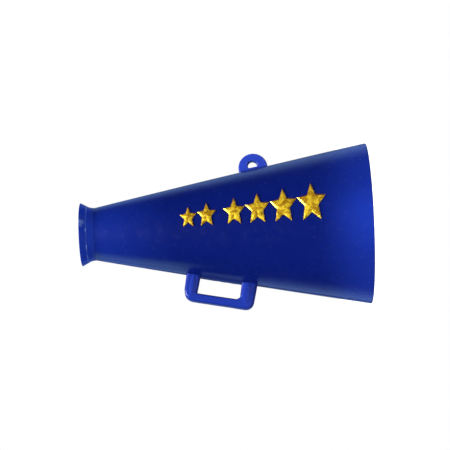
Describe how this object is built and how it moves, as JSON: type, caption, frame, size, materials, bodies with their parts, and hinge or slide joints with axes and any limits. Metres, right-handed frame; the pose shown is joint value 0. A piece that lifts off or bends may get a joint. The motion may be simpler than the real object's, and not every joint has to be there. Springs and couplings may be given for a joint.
{
  "type": "cheer megaphone charm",
  "caption": "Miniature moulded-plastic cheer megaphone: a hollow tapered horn with a flared mouthpiece, a small handle, a hanging eye and raised gold-foil stars.",
  "frame": {"origin": "centre of the bell's rim, on the plane that the megaphone stands on", "axes": "+Z along the horn's axis to the mouthpiece, +X towards the hanging eye and -X towards the handle, -Y towards the stars"},
  "size_m": [0.036, 0.0354, 0.0635],
  "materials": {
    "blue_plastic": "semi-gloss moulded royal blue",
    "gold_foil": "bright metallic gold foil, hot-stamped on raised plastic"
  },
  "bodies": {
    "root": {"horn": "blue_plastic", "mouthpiece": "blue_plastic", "handle": "blue_plastic", "hanging_eye": "blue_plastic", "foil_star_1": "gold_foil", "foil_star_2": "gold_foil", "foil_star_3": "gold_foil", "foil_star_4": "gold_foil", "foil_star_5": "gold_foil", "foil_star_6": "gold_foil"}
  },
  "joints": []
}
